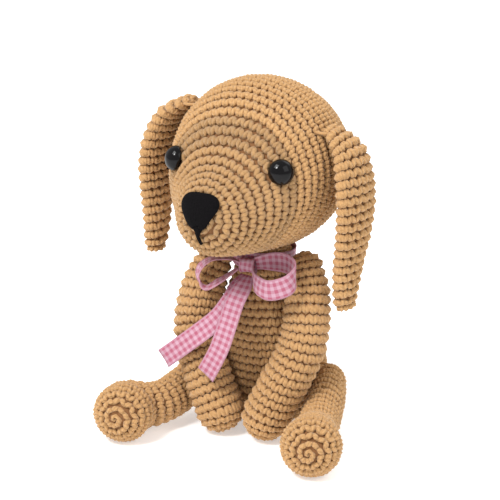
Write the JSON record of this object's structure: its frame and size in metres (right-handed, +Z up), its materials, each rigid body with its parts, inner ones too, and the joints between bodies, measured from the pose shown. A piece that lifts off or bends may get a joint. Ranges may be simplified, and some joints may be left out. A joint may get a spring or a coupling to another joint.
{
  "type": "crocheted plush puppy",
  "caption": "Seated crocheted puppy of thick yarn with long drooping ears, stuffed limbs, bead eyes and a checked ribbon bow at its neck.",
  "frame": {"origin": "centre of the flat base that the puppy sits on", "axes": "+Z up, the puppy faces -Y and its left side is +X"},
  "size_m": [0.1305, 0.1395, 0.1764],
  "materials": {
    "yarn": "matte, slightly fuzzy tan worsted yarn",
    "stuffing": "loose white polyester fibre",
    "eyes": "polished black",
    "washers": "plain moulded",
    "black_thread": "matte black thread",
    "ribbon": "pink and white gingham with a woven edge"
  },
  "bodies": {
    "torso": {"torso_cover": "yarn", "torso_stuffing": "stuffing", "neck_seam": "yarn", "shoulder_thread": "yarn", "left_leg_seam": "yarn", "right_leg_seam": "yarn", "tail_seam": "yarn", "ribbon_neck_band": "ribbon", "bow_knot": "ribbon", "bow_left_loop": "ribbon", "bow_right_loop": "ribbon", "bow_long_tail": "ribbon", "bow_short_tail": "ribbon"},
    "head": {"head_cover": "yarn", "head_stuffing": "stuffing", "left_eye": "eyes", "right_eye": "eyes", "left_eye_washer": "washers", "right_eye_washer": "washers", "nose_patch": "black_thread", "mouth_stitch": "black_thread", "left_ear_seam": "yarn", "right_ear_seam": "yarn"},
    "left_ear": {"left_ear": "yarn"},
    "right_ear": {"right_ear": "yarn"},
    "left_arm": {"left_arm_cover": "yarn", "left_arm_stuffing": "stuffing"},
    "right_arm": {"right_arm_cover": "yarn", "right_arm_stuffing": "stuffing"},
    "left_leg": {"left_leg_cover": "yarn", "left_leg_stuffing": "stuffing"},
    "right_leg": {"right_leg_cover": "yarn", "right_leg_stuffing": "stuffing"},
    "tail": {"tail": "yarn"}
  },
  "joints": [
    {"name": "head_turn", "type": "hinge", "parent": "torso", "child": "head", "pos_m": [0, -0.015, 0.0914], "axis": [0, 0, 1], "range_deg": [-20, 20]},
    {"name": "left_ear_flap", "type": "hinge", "parent": "head", "child": "left_ear", "pos_m": [0.04013, -0.02295, 0.1549], "axis": [-0.0698, -0.9976, 0], "range_deg": [0, 60]},
    {"name": "right_ear_flap", "type": "hinge", "parent": "head", "child": "right_ear", "pos_m": [-0.03976, -0.01737, 0.1614], "axis": [0.0698, 0.9976, 0], "range_deg": [0, 55]},
    {"name": "left_arm_swing", "type": "hinge", "parent": "torso", "child": "left_arm", "pos_m": [0.0246, -0.0189, 0.0846], "axis": [-1, 0, 0], "range_deg": [0, 45], "deforming": ["bow_left_loop"]},
    {"name": "right_arm_swing", "type": "hinge", "parent": "torso", "child": "right_arm", "pos_m": [-0.0246, -0.0189, 0.0846], "axis": [-1, 0, 0], "range_deg": [0, 45], "deforming": ["bow_right_loop", "bow_long_tail", "bow_short_tail"]},
    {"name": "left_leg_spread", "type": "hinge", "parent": "torso", "child": "left_leg", "pos_m": [0.03381, -0.007, 0.022], "axis": [0, 0, 1], "range_deg": [0, 25]},
    {"name": "right_leg_spread", "type": "hinge", "parent": "torso", "child": "right_leg", "pos_m": [-0.03381, -0.007, 0.022], "axis": [0, 0, -1], "range_deg": [0, 25]},
    {"name": "tail_wag", "type": "hinge", "parent": "torso", "child": "tail", "pos_m": [0, 0.03169, 0.015], "axis": [0, 0, 1], "range_deg": [-30, 30]}
  ]
}
